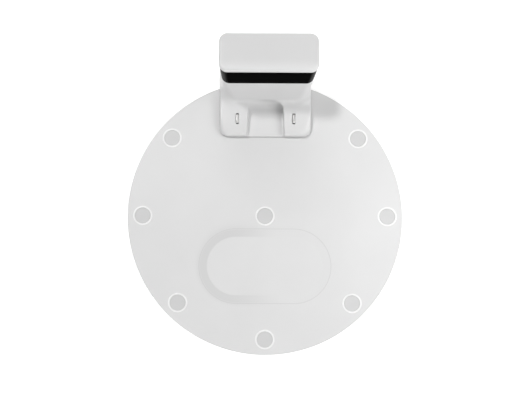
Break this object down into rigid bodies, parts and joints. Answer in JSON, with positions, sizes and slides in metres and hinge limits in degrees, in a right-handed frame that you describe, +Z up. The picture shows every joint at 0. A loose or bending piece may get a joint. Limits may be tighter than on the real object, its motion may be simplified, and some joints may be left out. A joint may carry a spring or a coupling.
{
  "type": "robot vacuum charging dock on floor mat",
  "caption": "White charging dock with a dark wrap-round window, sprung contacts and a wheel niche, standing on a round frosted floor mat with a drip tray.",
  "frame": {"origin": "On the floor, at the sole of the middle grip pad, which is under the centre of the round mat.", "axes": "+Z up. +Y from the middle of the mat to the dock, so the dock's foot and contacts face -Y and its back is at +Y. +X to the right when facing the dock."},
  "size_m": [0.44, 0.4765, 0.1007],
  "materials": {
    "white_shell": "satin moulded",
    "frosted_sheet": "frosted translucent sheet",
    "gel_pad": "soft translucent silicone",
    "dark_window": "polished infrared-clear plastic",
    "grey_base": "fine spark texture",
    "dark_plastic": "moulded",
    "contact_metal": "nickel plated",
    "spring_wire": "drawn wire",
    "lead_sheath": "smooth sheath",
    "ballast_steel": "rolled and zinc coated",
    "circuit_board": "solder mask",
    "lamp_resin": "clear tinted resin",
    "ferrite_core": "sintered ferrite",
    "capacitor_sleeve": "shrink sleeve",
    "foot_rubber": "moulded",
    "screw_steel": "zinc plated"
  },
  "bodies": {
    "mat": {"floor_mat": "frosted_sheet", "grip_pad_1": "gel_pad", "grip_pad_2": "gel_pad", "grip_pad_3": "gel_pad", "grip_pad_4": "gel_pad", "grip_pad_5": "gel_pad", "grip_pad_6": "gel_pad", "grip_pad_7": "gel_pad", "grip_pad_8": "gel_pad"},
    "dock": {"front_shell": "white_shell", "rear_shell": "white_shell", "base_plate": "grey_base", "top_plate": "white_shell", "ir_window": "dark_window", "contact_spring_left": "spring_wire", "contact_spring_right": "spring_wire", "contact_holder_left": "dark_plastic", "contact_holder_right": "dark_plastic", "contact_lead_left": "lead_sheath", "contact_lead_right": "lead_sheath", "ballast_left": "ballast_steel", "ballast_right": "ballast_steel", "inlet_pin_left": "contact_metal", "inlet_pin_right": "contact_metal", "mains_lead_left": "lead_sheath", "mains_lead_right": "lead_sheath", "ir_holder": "dark_plastic", "control_board": "circuit_board", "ir_lamp_left": "lamp_resin", "ir_lamp_centre": "lamp_resin", "ir_lamp_right": "lamp_resin", "power_board": "circuit_board", "transformer": "ferrite_core", "bulk_capacitor": "capacitor_sleeve", "power_inlet": "dark_plastic", "rubber_foot_1": "foot_rubber", "rubber_foot_2": "foot_rubber", "rubber_foot_3": "foot_rubber", "rubber_foot_4": "foot_rubber", "base_screw_1": "screw_steel", "base_screw_2": "screw_steel", "base_screw_3": "screw_steel", "base_screw_4": "screw_steel"},
    "left_contact": {"contact_left": "contact_metal"},
    "right_contact": {"contact_right": "contact_metal"},
    "cover": {"rear_cover": "white_shell"}
  },
  "joints": [
    {"name": "dock_lift", "type": "slide", "parent": "mat", "child": "dock", "axis": [0, 0, 1], "range_m": [0, 0.12]},
    {"name": "contact_left_press", "type": "slide", "parent": "dock", "child": "left_contact", "axis": [0, 0, -1], "range_m": [0, 0.002], "stiffness_N_per_m": 250, "springref_m": -0.001, "deforming": ["contact_spring_left"]},
    {"name": "contact_right_press", "type": "slide", "parent": "dock", "child": "right_contact", "axis": [0, 0, -1], "range_m": [0, 0.002], "stiffness_N_per_m": 250, "springref_m": -0.001, "deforming": ["contact_spring_right"]},
    {"name": "rear_cover_pull", "type": "slide", "parent": "dock", "child": "cover", "axis": [0, 1, 0], "range_m": [0, 0.05]}
  ]
}
